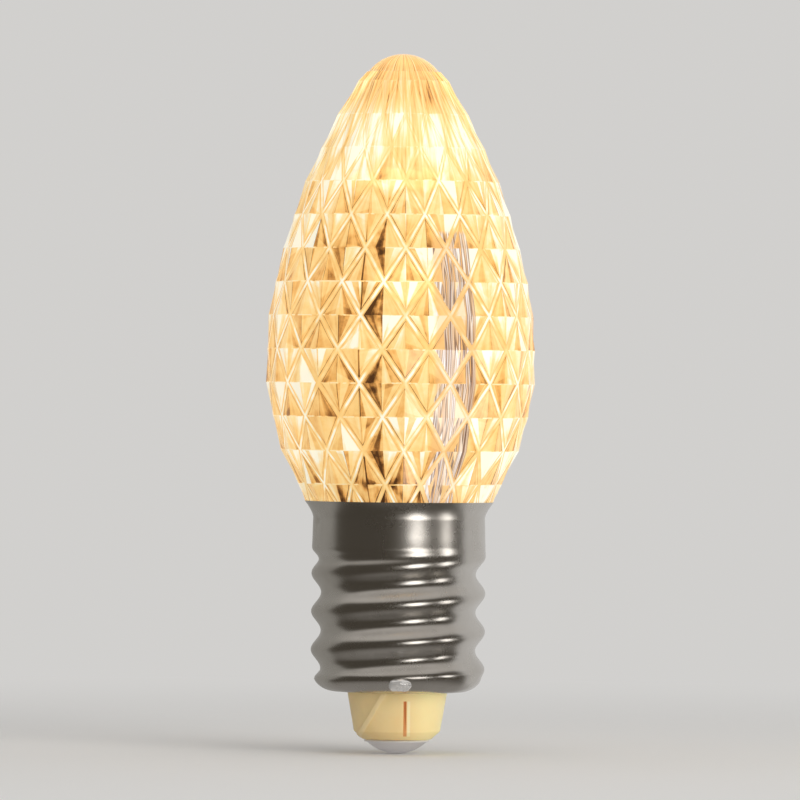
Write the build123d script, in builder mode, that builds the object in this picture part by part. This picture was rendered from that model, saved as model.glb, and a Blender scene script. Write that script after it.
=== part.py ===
import os
from math import ceil, cos, hypot, pi, radians, sin, sqrt

from build123d import *

os.makedirs("parts", exist_ok=True)

# All lengths in mm and angles in degrees. The origin is the tip of the centre contact, with the
# bulb standing on it and +Z going up through the lens. The front, with the solder joint, is -Y.
front = -90

# centre contact
contact_ball_radius = 2.9
contact_radius = 2.17
contact_stem_radius = 0.7
contact_stem_top = 4.9

# base core, the cream moulding inside the shell, with the nose below it
nose_end_radius = 2.3
nose_edge_height = 1.5
nose_edge_radius = 2.87
nose_top_radius = 3.33
nose_slit_width = 0.14
nose_slit_depth = 0.5
nose_slit_length = 2.35
nose_slit_offset = 0.53
nose_slit_inset = 0.55  # below the shell
nose_rib_width = 0.36
nose_rib_height = 0.07
nose_rib_root = 1.5
nose_rib_offset = -1.75
nose_rib_lean = 30
core_top = 13.3
core_clearance = 0.05
core_foot_bevel = 0.9
core_floor = 5.6
core_ledge = 8.0
core_ledge_radius = 2.0
channel_width = 0.8

# rolled screw shell
sheet = 0.3
shell_bottom = 4.13
shell_mouth_radius = 3.45
corner_radius = 1.6
crest_radius = 5.8
thread_depth = 0.65
thread_pitch = 2.54
thread_low = 4.75
thread_high = 13.77
thread_root = 6.89  # height of a root on the right
thread_fade = 0.86  # from the foot to the full depth
thread_end_fade = 1.1  # from the full depth to the skirt
outer_rings = 6  # bands in each turn of the thread
inner_rings = 4
skirt_step = 0.08  # in from the crests
skirt_gap = 0.23  # above the thread
skirt_length = 1.85
lip_flare = 0.58
lip_rise = 0.95
dimple_ball = 0.55
dimple_depth = 0.15
dimple_height = 15.5
dimple_turn = -70  # round from the front

# solder joint on the lowest thread
joint_radius = 0.44
joint_length = 0.62
joint_height = 4.75
joint_turn = 2  # round from the front, as the board's face is
joint_hole_radius = 0.3
joint_rise = 0.32
joint_round = 0.8  # of the rise
joint_plug = 0.4

# faceted lens
facets_round = 18
row_step = 2.2333
row_low = 17.97  # height of the lowest row of crossings above the lip
# radius of the valleys at each row of crossings, from the row inside the lip to those over the tip
row_radius = (5.75, 6.7, 7.77, 8.43, 8.8, 8.84, 8.67, 8.33, 7.73, 7.12, 6.31, 5.33, 4.2, 2.9, 1.1, 0.2)
facet_rise = 0.16
valley_share = 0.14  # of the way from a crossing to the middle of a facet
lens_turn = 2  # round from the front
facet_cut = 0.63  # above the last whole row of crossings
cap_ball_radius = 2.91
cap_height = 1.2  # above the facets
lens_wall = 1.3
tip_wall = 0.9
cavity_tip_radius = 0.7
spigot_clearance = 0.05
spigot_wall = 0.97
spigot_low = 13.6

# circuit board and what is soldered to it
board_width = 6.0
board_thickness = 0.8
board_end = 3.25  # above the lights on its faces
pad_height = 9.5
led_size = (2.8, 0.8, 3.5)
led_window_radius = 1.1
led_window_depth = 0.1
led_gap = 3.15  # above the resistor
top_led_side = 2.8
top_led_foot = 0.7
top_led_radius = 1.25
chip_bevel = 0.2
rectifier_size = (3.9, 2.3, 4.7)
rectifier_low = 16.65
capacitor_size = (4.4, 1.9, 3.4)
capacitor_low = 16.5
resistor_size = (1.6, 0.6, 3.2)
resistor_gap = 2.5  # above the capacitor

# leads
lead_radius = 0.25
lead_bend = 0.5
lead_depth = 0.85  # in from the side of the core

stand = (Align.CENTER, Align.CENTER, Align.MIN)
board_plane = Plane.XY.rotated((0, 0, joint_turn))


def around(turn, radius, height):
    # a point at a turn round from the front
    angle = radians(front + turn)
    return Vector(radius * cos(angle), radius * sin(angle), height)


# Centre contact: a domed head with a stem that goes up into the core.
contact_height = contact_ball_radius - sqrt(contact_ball_radius**2 - contact_radius**2)
with BuildPart() as centre_contact:
    with BuildSketch(Plane.XZ):
        with BuildLine():
            RadiusArc((0, 0), (contact_radius, contact_height), -contact_ball_radius)
            Polyline(
                (contact_radius, contact_height),
                (contact_stem_radius, contact_height),
                (contact_stem_radius, contact_stem_top),
                (0, contact_stem_top),
                (0, 0),
            )
        make_face()
    revolve(axis=Axis.Z)
centre_contact.part.label = "centre_contact"
export_step(centre_contact.part, "parts/centre_contact.step")


# Screw shell: a drawn cup with a flared lip. The thread is rolled into its wall, so each level of
# the wall is a ring that is shifted to one side, and the shift goes round once in each turn.
def wallRadius(height, depth):
    below = min(height - shell_bottom - corner_radius, 0)
    return crest_radius - corner_radius + sqrt((corner_radius - depth) ** 2 - below**2)


def rollShift(height):
    share = min((height - thread_low) / thread_fade, (thread_high - height) / thread_end_fade, 1)
    return thread_depth / 2 * (1 - cos(pi * share)) / 2


skirt_radius = crest_radius - skirt_step
skirt_low = thread_high + skirt_gap
skirt_high = skirt_low + skirt_length
lip_radius = skirt_radius + lip_flare
lip_height = skirt_high + lip_rise
rolled_walls = []
for depth, rings in ((0, outer_rings), (sheet, inner_rings)):
    ring_count = ceil((thread_high - thread_low) / thread_pitch * rings)
    with BuildPart() as rolled:
        for ring in range(ring_count + 1):
            height = thread_low + (thread_high - thread_low) * ring / ring_count
            shift = rollShift(height)
            turn = 2 * pi * (height - thread_root) / thread_pitch
            with BuildSketch(Plane.XY.offset(height)):
                with Locations((-shift * cos(turn), -shift * sin(turn))):
                    Circle(wallRadius(height, depth) - shift)
        loft(ruled=True)
    rolled_walls.append(rolled.part)

corner_centre = crest_radius - corner_radius
joint_point = around(joint_turn, wallRadius(joint_height, 0), joint_height)
corner_middle = around(joint_turn, corner_centre, shell_bottom + corner_radius)
joint_plane = Plane(
    origin=joint_point,
    x_dir=around(joint_turn + 90, 1, 0),
    z_dir=joint_point - corner_middle,
)
with BuildPart() as screw_shell:
    with BuildSketch(Plane.XZ):
        with BuildLine():
            RadiusArc(
                (corner_centre, shell_bottom),
                (wallRadius(thread_low, 0), thread_low),
                -corner_radius,
            )
            Line((wallRadius(thread_low, 0), thread_low), (wallRadius(thread_low, sheet), thread_low))
            RadiusArc(
                (wallRadius(thread_low, sheet), thread_low),
                (corner_centre, shell_bottom + sheet),
                corner_radius - sheet,
            )
            Polyline(
                (corner_centre, shell_bottom + sheet),
                (shell_mouth_radius, shell_bottom + sheet),
                (shell_mouth_radius, shell_bottom),
                (corner_centre, shell_bottom),
            )
        make_face()
    revolve(axis=Axis.Z)
    with BuildSketch(Plane.XZ):
        with BuildLine():
            Polyline(
                (crest_radius, thread_high),
                (skirt_radius, skirt_low),
                (skirt_radius, skirt_high),
                (lip_radius, lip_height),
                (lip_radius - sheet, lip_height),
                (skirt_radius - sheet, skirt_high),
                (skirt_radius - sheet, skirt_low),
                (crest_radius - sheet, thread_high),
                close=True,
            )
        make_face()
    revolve(axis=Axis.Z)
    add(rolled_walls[0] - rolled_walls[1])
    with Locations(around(dimple_turn, skirt_radius - dimple_depth + dimple_ball, dimple_height)):
        Sphere(dimple_ball, mode=Mode.SUBTRACT)
    with BuildSketch(joint_plane):
        Circle(joint_hole_radius)
    extrude(amount=2 * sheet, both=True, mode=Mode.SUBTRACT)
screw_shell.part.label = "screw_shell"
export_step(screw_shell.part, "parts/screw_shell.step")

# Base core: one moulding, hollow for the board's foot, with a slot for the lead to the shell.
core_radius = crest_radius - thread_depth - sheet - core_clearance
core_shoulder = shell_bottom + sheet
with BuildPart() as nose_rib:
    with BuildSketch(Plane.XZ):
        Polygon(
            (nose_rib_root, contact_height),
            (nose_end_radius + nose_rib_height, contact_height),
            (nose_edge_radius + nose_rib_height, nose_edge_height),
            (nose_top_radius + nose_rib_height, shell_bottom),
            (nose_rib_root, shell_bottom),
            align=None,
        )
    revolve(axis=Axis.Z)
    with BuildSketch(Plane.XZ):
        with Locations((nose_rib_offset, (contact_height + shell_bottom) / 2)):
            Rectangle(nose_rib_width, 2 * shell_bottom, rotation=-nose_rib_lean)
    extrude(amount=nose_top_radius, mode=Mode.INTERSECT)

with BuildPart() as base_core:
    with BuildSketch(Plane.XZ):
        Polygon(
            (contact_stem_radius, contact_height),
            (nose_end_radius, contact_height),
            (nose_edge_radius, nose_edge_height),
            (nose_top_radius, shell_bottom),
            (nose_top_radius, core_shoulder),
            (core_radius - core_foot_bevel, core_shoulder),
            (core_radius, core_shoulder + core_foot_bevel),
            (core_radius, core_top),
            (board_width / 2 + core_clearance, core_top),
            (board_width / 2 + core_clearance, core_ledge),
            (core_ledge_radius, core_ledge),
            (core_ledge_radius, core_floor),
            (contact_stem_radius, core_floor),
            align=None,
        )
    revolve(axis=Axis.Z)
    with BuildSketch(Plane.XY.offset(core_shoulder)):
        with Locations(around(joint_turn, core_radius, 0)):
            Rectangle(channel_width, 2 * (core_radius - core_ledge_radius), rotation=joint_turn)
    extrude(until=Until.LAST, mode=Mode.SUBTRACT)
    with BuildSketch(Plane.XY.offset(shell_bottom - nose_slit_inset)):
        with Locations((nose_slit_offset, -nose_top_radius)):
            Rectangle(nose_slit_width, 2 * nose_slit_depth)
    extrude(amount=-nose_slit_length, mode=Mode.SUBTRACT)
    add(nose_rib.part)
base_core.part.label = "base_core"
export_step(base_core.part, "parts/base_core.step")

# Solder joint: a blob on the lowest thread, and the plug under it that holds the lead.
with BuildPart() as solder_joint:
    with BuildSketch(joint_plane.offset(-sheet / 2)):
        SlotCenterToCenter(joint_length, 2 * joint_radius)
    extrude(amount=sheet / 2 + joint_rise)
    joint_face = solder_joint.faces().sort_by(Axis(joint_plane.origin, joint_plane.z_dir))[-1]
    fillet(joint_face.edges(), joint_rise * joint_round)
    add(screw_shell.part, mode=Mode.SUBTRACT)
    with BuildSketch(joint_plane):
        Circle(joint_hole_radius)
    extrude(amount=-joint_plug)
solder_joint.part.label = "solder_joint"
export_step(solder_joint.part, "parts/solder_joint.step")


# Faceted lens. Rows of crossings go up the outline, each half a step round from the last. Between
# four crossings stands a flat four-sided pyramid, and narrow valleys run between the pyramids.
def valleyRadius(place):
    row = max(int(place), 0)
    share = place - row
    return row_radius[row] * (1 - share) + row_radius[row + 1] * share


def lensPoint(turn, place, rise=0):
    return around(turn, valleyRadius(place) + rise, row_low + (place - 1) * row_step)


def triangle(*corners):
    return Face(Wire.make_polygon(corners, close=True))


half_turn = 180 / facets_round
edge = 1 - valley_share
last_row = len(row_radius) - 2
under = Vector(0, 0, row_low - 3 * row_step)
over = Vector(0, 0, row_low + last_row * row_step)
facets = []
for row in range(last_row + 1):
    for column in range(facets_round):
        turn = lens_turn + (2 * column + (row + 1) % 2) * half_turn
        middle = lensPoint(turn, row, facet_rise)
        right = lensPoint(turn + edge * half_turn, row)
        left = lensPoint(turn - edge * half_turn, row)
        top = lensPoint(turn, row + edge)
        bottom = lensPoint(turn, row - edge)
        next_left = lensPoint(turn + (2 - edge) * half_turn, row)
        for pair in ((right, top), (top, left), (left, bottom), (bottom, right)):
            facets.append(triangle(middle, *pair))
        if row == 0:
            facets.append(triangle(right, next_left, lensPoint(turn + half_turn, valley_share)))
            feet = ((left, bottom), (bottom, right), (right, next_left))
            facets += [triangle(under, *pair) for pair in feet]
        if row == last_row:
            heads = ((right, top), (top, left), (right, next_left))
            facets += [triangle(over, *pair) for pair in heads]
            continue
        above_left = lensPoint(turn + valley_share * half_turn, row + 1)
        above_right = lensPoint(turn - valley_share * half_turn, row + 1)
        beside_right = lensPoint(turn + half_turn, row + valley_share)
        beside_left = lensPoint(turn - half_turn, row + valley_share)
        facets.append(triangle(right, beside_right, above_left))
        facets.append(triangle(right, above_left, top))
        facets.append(triangle(left, top, above_right))
        facets.append(triangle(left, above_right, beside_left))
        facets.append(triangle(top, above_left, above_right))
        if row < last_row - 1:
            facets.append(triangle(above_left, above_right, lensPoint(turn, row + 1 + valley_share)))

# The cavity follows the outline at every second row, up to one row under its tip.
spigot_radius = skirt_radius - sheet - spigot_clearance
spigot_bore = spigot_radius - spigot_wall
facet_top = row_low + (last_row - 2) * row_step + facet_cut
lens_tip = facet_top + cap_height
cavity_tip = lens_tip - tip_wall
cavity_rings = [(spigot_bore, spigot_low), (spigot_bore, lip_height)]
for row in range(2, last_row, 2):
    height = row_low + (row - 1) * row_step
    if height < cavity_tip - row_step:
        cavity_rings.append((row_radius[row] - lens_wall, height))
cavity_rings.append((cavity_tip_radius, cavity_tip))
with BuildPart() as lens_cavity:
    for radius, height in cavity_rings:
        with BuildSketch(Plane.XY.offset(height)):
            Circle(radius)
    loft(ruled=True)

with BuildPart() as lens:
    add(Solid(Shell(facets)))
    split(bisect_by=Plane.XY.offset(lip_height), keep=Keep.TOP)
    split(bisect_by=Plane.XY.offset(facet_top), keep=Keep.BOTTOM)
    with Locations((0, 0, lens_tip - cap_ball_radius)):
        Sphere(cap_ball_radius)
    with Locations((0, 0, spigot_low)):
        Cylinder(spigot_radius, lip_height - spigot_low, align=stand)
    add(lens_cavity.part, mode=Mode.SUBTRACT)
lens.part.label = "lens"
export_step(lens.part, "parts/lens.step")

# Circuit board, upright on the core's ledge, with its lights and parts soldered to it.
board_face = board_thickness / 2
resistor_low = capacitor_low + capacitor_size[2] + resistor_gap
led_low = resistor_low + resistor_size[2] + led_gap
board_top = led_low + led_size[2] + board_end
with BuildPart(board_plane.offset(core_ledge)) as circuit_board:
    Box(board_width, board_thickness, board_top - core_ledge, align=stand)
circuit_board.part.label = "circuit_board"
export_step(circuit_board.part, "parts/circuit_board.step")

for side, name in ((-1, "front_led"), (1, "back_led")):
    led_width, led_thickness, led_length = led_size
    with BuildPart(board_plane.offset(led_low)) as led:
        with Locations((0, side * (board_face + led_thickness / 2), 0)):
            Box(led_width, led_thickness, led_length, align=stand)
        with Locations((0, side * (board_face + led_thickness), led_length / 2)):
            Cylinder(led_window_radius, 2 * led_window_depth, rotation=(90, 0, 0), mode=Mode.SUBTRACT)
    led.part.label = name
    export_step(led.part, f"parts/{name}.step")

with BuildPart(board_plane.offset(board_top)) as top_led:
    Box(top_led_side, top_led_side, top_led_foot, align=stand)
    with Locations((0, 0, top_led_foot)):
        Sphere(top_led_radius, arc_size1=0, align=stand)
top_led.part.label = "top_led"
export_step(top_led.part, "parts/top_led.step")

chips = (
    ("capacitor", -1, capacitor_size, capacitor_low),
    ("rectifier", 1, rectifier_size, rectifier_low),
    ("resistor", -1, resistor_size, resistor_low),
)
for name, side, size, low in chips:
    with BuildPart(board_plane.offset(low)) as chip:
        with Locations((0, side * (board_face + size[1] / 2), 0)):
            Box(*size, align=stand)
        outer_face = chip.faces().sort_by(Axis(board_plane.origin, side * board_plane.y_dir))[-1]
        chamfer(outer_face.edges(), chip_bevel)
    chip.part.label = name
    export_step(chip.part, f"parts/{name}.step")

# Leads: one from the board to the solder joint, one from the board to the contact's stem.
lead_slot_radius = core_radius - lead_depth
joint_end = joint_point - joint_plane.z_dir * joint_plug
slot_reach = hypot(joint_end.X, joint_end.Y) - lead_slot_radius
joint_slope = joint_plane.z_dir.Z / hypot(joint_plane.z_dir.X, joint_plane.z_dir.Y)
bend_height = joint_end.Z - slot_reach * joint_slope
with BuildPart() as neutral_lead:
    with BuildLine():
        FilletPolyline(
            around(joint_turn, board_face, pad_height),
            around(joint_turn, lead_slot_radius, pad_height),
            around(joint_turn, lead_slot_radius, bend_height),
            joint_end,
            radius=lead_bend,
        )
    pad_point = around(joint_turn, board_face, pad_height)
    with BuildSketch(Plane(origin=pad_point, z_dir=around(joint_turn, 1, 0))):
        Circle(lead_radius)
    sweep()
neutral_lead.part.label = "neutral_lead"
export_step(neutral_lead.part, "parts/neutral_lead.step")

with BuildPart() as live_lead:
    with Locations((0, 0, contact_stem_top)):
        Cylinder(lead_radius, core_ledge - contact_stem_top, align=stand)
live_lead.part.label = "live_lead"
export_step(live_lead.part, "parts/live_lead.step")
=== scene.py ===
import math
import re

import bmesh
import bpy
from mathutils import Matrix, Vector, noise


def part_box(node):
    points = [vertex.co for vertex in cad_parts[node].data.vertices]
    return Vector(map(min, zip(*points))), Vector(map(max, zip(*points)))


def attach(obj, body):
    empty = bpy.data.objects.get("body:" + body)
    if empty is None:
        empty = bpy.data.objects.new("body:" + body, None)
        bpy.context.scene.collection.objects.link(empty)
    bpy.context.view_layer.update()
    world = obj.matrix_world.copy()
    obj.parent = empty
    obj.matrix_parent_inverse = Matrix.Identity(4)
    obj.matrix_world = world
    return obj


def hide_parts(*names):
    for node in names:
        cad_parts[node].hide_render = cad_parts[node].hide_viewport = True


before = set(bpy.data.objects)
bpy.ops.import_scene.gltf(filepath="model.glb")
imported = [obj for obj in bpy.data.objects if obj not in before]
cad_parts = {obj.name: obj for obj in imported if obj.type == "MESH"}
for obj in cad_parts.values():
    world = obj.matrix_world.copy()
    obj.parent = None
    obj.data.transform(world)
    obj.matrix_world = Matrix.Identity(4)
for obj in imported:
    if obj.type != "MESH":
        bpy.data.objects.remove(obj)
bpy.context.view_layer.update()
mm = 0.001
tiny = 0.001 * mm
noLight = (0, 0, 0, 1)
print("frame loaded:", len(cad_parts), "nodes")

# The bulb stands on its contact with +Z through the lens, and its front is -Y. Sizes in the
# dictionaries are in mm and turns in degrees, unless a note says otherwise.


def addPiece(name, mesh):
    piece = bpy.data.objects.new(name, mesh)
    bpy.context.scene.collection.objects.link(piece)
    return piece


def plainPiece(piece):
    # the result of the modifiers becomes the piece's own mesh
    depsgraph = bpy.context.evaluated_depsgraph_get()
    mesh = bpy.data.meshes.new_from_object(piece.evaluated_get(depsgraph))
    piece.modifiers.clear()
    piece.data = mesh
    return piece


def standFor(piece, node, material):
    piece.data.materials.clear()
    piece.data.materials.append(material)
    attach(piece, "root")
    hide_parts(node)


def smoothByAngle(mesh, degrees):
    limit = math.cos(math.radians(degrees))
    for polygon in mesh.polygons:
        polygon.use_smooth = True
    sharp = set()
    builder = bmesh.new()
    builder.from_mesh(mesh)
    for edge in builder.edges:
        if len(edge.link_faces) == 2:
            first, second = edge.link_faces
            if first.normal.dot(second.normal) < limit:
                sharp.add(edge.index)
    builder.free()
    for index in sharp:
        mesh.edges[index].use_edge_sharp = True


def addRings(builder, profile, steps):
    # rings of points (radius, height) in mm with faces between them; radius 0 makes one pole
    rings = []
    for radius, height in profile:
        angles = [2 * math.pi * step / steps for step in range(steps if radius else 1)]
        places = [(radius * math.cos(a) * mm, radius * math.sin(a) * mm, height * mm) for a in angles]
        rings.append([builder.verts.new(place) for place in places])
    for lower, upper in zip(rings, rings[1:]):
        joinRings(builder, lower, upper, steps)
    return rings


def joinRings(builder, lower, upper, steps):
    for step in range(steps):
        after = (step + 1) % steps
        corners = [lower[step % len(lower)], lower[after % len(lower)]]
        corners += [upper[after % len(upper)], upper[step % len(upper)]]
        corners = list(dict.fromkeys(corners))
        if len(corners) > 2:
            builder.faces.new(corners).smooth = True


def lathe(name, profile, steps):
    # a closed outline turned round Z
    builder = bmesh.new()
    rings = addRings(builder, profile, steps)
    if len(rings[0]) > 1:
        joinRings(builder, rings[-1], rings[0], steps)
    bmesh.ops.recalc_face_normals(builder, faces=builder.faces)
    mesh = bpy.data.meshes.new(name)
    builder.to_mesh(mesh)
    builder.free()
    return mesh


def arcPoints(centre, radius, start, end, steps):
    # points of an arc in the profile's plane, angles in degrees from the radius axis
    points = []
    for step in range(steps + 1):
        angle = math.radians(start + (end - start) * step / steps)
        points.append((centre[0] + radius * math.cos(angle), centre[1] + radius * math.sin(angle)))
    return points


def linePoints(first, last, steps):
    # evenly spaced points of a straight side, without its first one
    points = []
    for step in range(1, steps + 1):
        share = step / steps
        points.append(tuple(a + (b - a) * share for a, b in zip(first, last)))
    return points


# Helpers for node trees, used by geometry and materials alike.


class Wire:
    # one output of a node, and sums written with it add math nodes to its tree
    def __init__(self, tree, socket):
        self.tree = tree
        self.socket = socket

    def __add__(self, other):
        return calc("ADD", self, other)

    def __sub__(self, other):
        return calc("SUBTRACT", self, other)

    def __rsub__(self, other):
        return calc("SUBTRACT", other, self)

    def __mul__(self, other):
        return calc("MULTIPLY", self, other)

    def __truediv__(self, other):
        return calc("DIVIDE", self, other)

    def __rtruediv__(self, other):
        return calc("DIVIDE", other, self)

    def __mod__(self, other):
        return calc("MODULO", self, other)

    def __neg__(self):
        return calc("MULTIPLY", self, -1)

    def __abs__(self):
        return calc("ABSOLUTE", self)


def treeOf(values):
    return next(value.tree for value in values if isinstance(value, Wire))


def plug(value, socket):
    if isinstance(value, Wire):
        value.tree.links.new(value.socket, socket)
    elif value is not None:
        socket.default_value = value


def plugAll(node, inputs):
    for key, value in inputs.items():
        plug(value, node.inputs[key])


def addNode(tree, kind, inputs=None, **settings):
    node = tree.nodes.new(kind)
    for name, value in settings.items():
        setattr(node, name, value)
    plugAll(node, inputs or {})
    return node


def add(tree, kind, inputs=None, output=0, **settings):
    return Wire(tree, addNode(tree, kind, inputs, **settings).outputs[output])


def wires(tree, node):
    return {socket.name: Wire(tree, socket) for socket in node.outputs}


def calc(operation, *values, **settings):
    inputs = dict(enumerate(values))
    return add(treeOf(values), "ShaderNodeMath", inputs, operation=operation, **settings)


def vectorCalc(operation, *values):
    inputs = dict(enumerate(values))
    output = "Value" if operation in ("LENGTH", "DISTANCE") else "Vector"
    return add(treeOf(values), "ShaderNodeVectorMath", inputs, output, operation=operation)


def scaled(vector, factor):
    return vectorCalc("SCALE", vector, None, None, factor)


def separate(vector):
    node = addNode(vector.tree, "ShaderNodeSeparateXYZ", {0: vector})
    return [Wire(vector.tree, socket) for socket in node.outputs]


def combine(*values):
    return add(treeOf(values), "ShaderNodeCombineXYZ", dict(enumerate(values)))


def spread(value, fromMin, fromMax, toMin=0.0, toMax=1.0, smooth=False):
    inputs = dict(enumerate((value, fromMin, fromMax, toMin, toMax)))
    kind = "SMOOTHSTEP" if smooth else "LINEAR"
    return add(value.tree, "ShaderNodeMapRange", inputs, interpolation_type=kind)


def cloud(place, scale, detail=2.0, roughness=0.5, output="Fac"):
    inputs = {"Vector": place, "Scale": scale, "Detail": detail, "Roughness": roughness}
    return add(place.tree, "ShaderNodeTexNoise", inputs, output)


def blendFloat(share, low, high):
    inputs = {0: share, 2: low, 3: high}
    return add(treeOf(inputs.values()), "ShaderNodeMix", inputs, data_type="FLOAT")


def blendColor(share, low, high, blend="MIX"):
    inputs = {0: share, 6: low, 7: high}
    tree = treeOf(inputs.values())
    return add(tree, "ShaderNodeMix", inputs, 2, data_type="RGBA", blend_type=blend)


def ramp(value, stops):
    node = addNode(value.tree, "ShaderNodeValToRGB", {"Fac": value})
    elements = node.color_ramp.elements
    while len(elements) < len(stops):
        elements.new(0.5)
    for element, (place, color) in zip(elements, stops):
        element.position = place
        element.color = (*color, 1)
    return Wire(value.tree, node.outputs[0])


def zoneMask(place, zone):
    # 0 before the zone and 1 after it, with both ends in mm
    return spread(place, zone[0] * mm, zone[1] * mm, smooth=True)


def objectPlace(tree):
    return add(tree, "ShaderNodeTexCoord", output="Object")


def attribute(tree, name, output="Fac"):
    return add(tree, "ShaderNodeAttribute", output=output, attribute_name=name)


def socketKind(value):
    if value is None:
        return "NodeSocketGeometry"
    if isinstance(value, tuple):
        return "NodeSocketColor" if len(value) == 4 else "NodeSocketVector"
    kinds = {int: "NodeSocketInt", float: "NodeSocketFloat"}
    return kinds.get(type(value), "NodeSocketMaterial")


def makeGroup(kind, name, inputs, outputs):
    # a node group whose named inputs take their kinds from the values that they start with
    group = bpy.data.node_groups.new(name, kind)
    for label, value in inputs.items():
        socket = group.interface.new_socket(label, in_out="INPUT", socket_type=socketKind(value))
        if isinstance(value, (int, float, tuple)):
            socket.default_value = value
    for label, socketType in outputs.items():
        group.interface.new_socket(label, in_out="OUTPUT", socket_type="NodeSocket" + socketType)
    given = wires(group, addNode(group, "NodeGroupInput"))
    return group, given, addNode(group, "NodeGroupOutput").inputs


def makeGeometryTree(name, inputs):
    return makeGroup("GeometryNodeTree", name, {"Geometry": None, **inputs}, {"Geometry": "Geometry"})


def endGeometryTree(geometry, material, put):
    geometry = add(geometry.tree, "GeometryNodeRealizeInstances", {"Geometry": geometry})
    inputs = {"Geometry": geometry, "Material": material}
    plug(add(geometry.tree, "GeometryNodeSetMaterial", inputs), put["Geometry"])


def inputValues(sizes, names, factor=mm):
    # inputs named after the sizes, so that rowStep is Row Step
    labels = [re.sub("([A-Z])", r" \1", name).title() for name in names]
    return {label: sizes[name] * factor for label, name in zip(labels, names)}


def runTree(piece, makeTree, values):
    # builds the tree, gives it to the piece with its values and keeps the result as a plain mesh
    tree = makeTree(values)
    modifier = piece.modifiers.new(tree.name, "NODES")
    modifier.node_group = tree
    for item in tree.interface.items_tree:
        if item.in_out == "INPUT" and item.name in values:
            modifier[item.identifier] = values[item.name]
    return plainPiece(piece)


# Shared wear: the label of each input, its name in the looks below, and its usual value.
wearInputs = (
    ("Color", "color", (0.6, 0.6, 0.6, 1)),
    ("Smudge Color", "smudge", (0.4, 0.4, 0.4, 1)),
    ("Smudge Scale", "smudgeScale", 260.0),
    ("Smudge Amount", "smudgeAmount", 0.4),
    ("Roughness", "roughness", 0.3),
    ("Roughness Spread", "spread", 0.08),
    ("Grain Scale", "grainScale", 4000.0),
    ("Scratch Amount", "scratches", 0.3),
)
wearLook = {
    "smudgeDetail": 5,
    "smudgeRoughness": 0.6,
    "smudgeRange": (0.42, 0.72),
    "scratchScale": 900,
    "scratchDetail": 4,
    "scratchRange": (0.6, 0.7),
    "scratchStretch": (1, 1, 9),
    "scratchLean": (0.2, 0.1, 0),  # radians
    "scratchRoughness": 0.1,
}


def makeFineWear(look):
    # soft smudges, short rubbed marks and a fine grain, for metal and moulded plastic
    inputs = {label: value for label, _, value in wearInputs}
    outputs = {"Color": "Color", "Roughness": "Float", "Height": "Float"}
    group, given, put = makeGroup("ShaderNodeTree", "fineWear", inputs, outputs)
    place = objectPlace(group)
    smudge = cloud(place, given["Smudge Scale"], look["smudgeDetail"], look["smudgeRoughness"])
    grain = cloud(place, given["Grain Scale"])
    mapping = {"Vector": place, "Scale": look["scratchStretch"], "Rotation": look["scratchLean"]}
    scratch = cloud(add(group, "ShaderNodeMapping", mapping), look["scratchScale"], look["scratchDetail"])
    scratched = spread(scratch, *look["scratchRange"]) * given["Scratch Amount"]
    smudged = spread(smudge, *look["smudgeRange"]) * given["Smudge Amount"]
    plug(blendColor(smudged, given["Color"], given["Smudge Color"]), put["Color"])
    rough = given["Roughness"] + (smudge - 0.5) * given["Roughness Spread"] * 2
    plug(rough + scratched * look["scratchRoughness"], put["Roughness"])
    plug(grain - scratched, put["Height"])
    return group


fineWear = makeFineWear(wearLook)


def nodeOf(tree, kind):
    return next(node for node in tree.nodes if node.type == kind)


def newMaterial(name):
    material = bpy.data.materials.new(name)
    material.use_nodes = True
    return material, material.node_tree, nodeOf(material.node_tree, "BSDF_PRINCIPLED")


def bumpInto(shader, height, strength, distance):
    # distance in mm
    inputs = {"Height": height, "Strength": strength, "Distance": distance * mm}
    plug(add(height.tree, "ShaderNodeBump", inputs), shader.inputs["Normal"])


def wornMaterial(name, look):
    # a metal or plastic that uses the shared wear group
    material, tree, shader = newMaterial(name)
    values = {label: look.get(key, value) for label, key, value in wearInputs}
    wear = wires(tree, addNode(tree, "ShaderNodeGroup", values, node_tree=fineWear))
    finish = {
        "Base Color": wear["Color"],
        "Roughness": wear["Roughness"],
        "Metallic": look.get("metallic", 0.0),
    }
    if "subsurface" in look:
        finish["Subsurface Weight"] = look["subsurface"]
        finish["Subsurface Radius"] = (1.0, 0.6, 0.3)
        finish["Subsurface Scale"] = look["subsurfaceDepth"] * mm
    plugAll(shader, finish)
    bumpInto(shader, wear["Height"], look.get("bump", 0.2), look.get("bumpDepth", 0.01))
    return material


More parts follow.
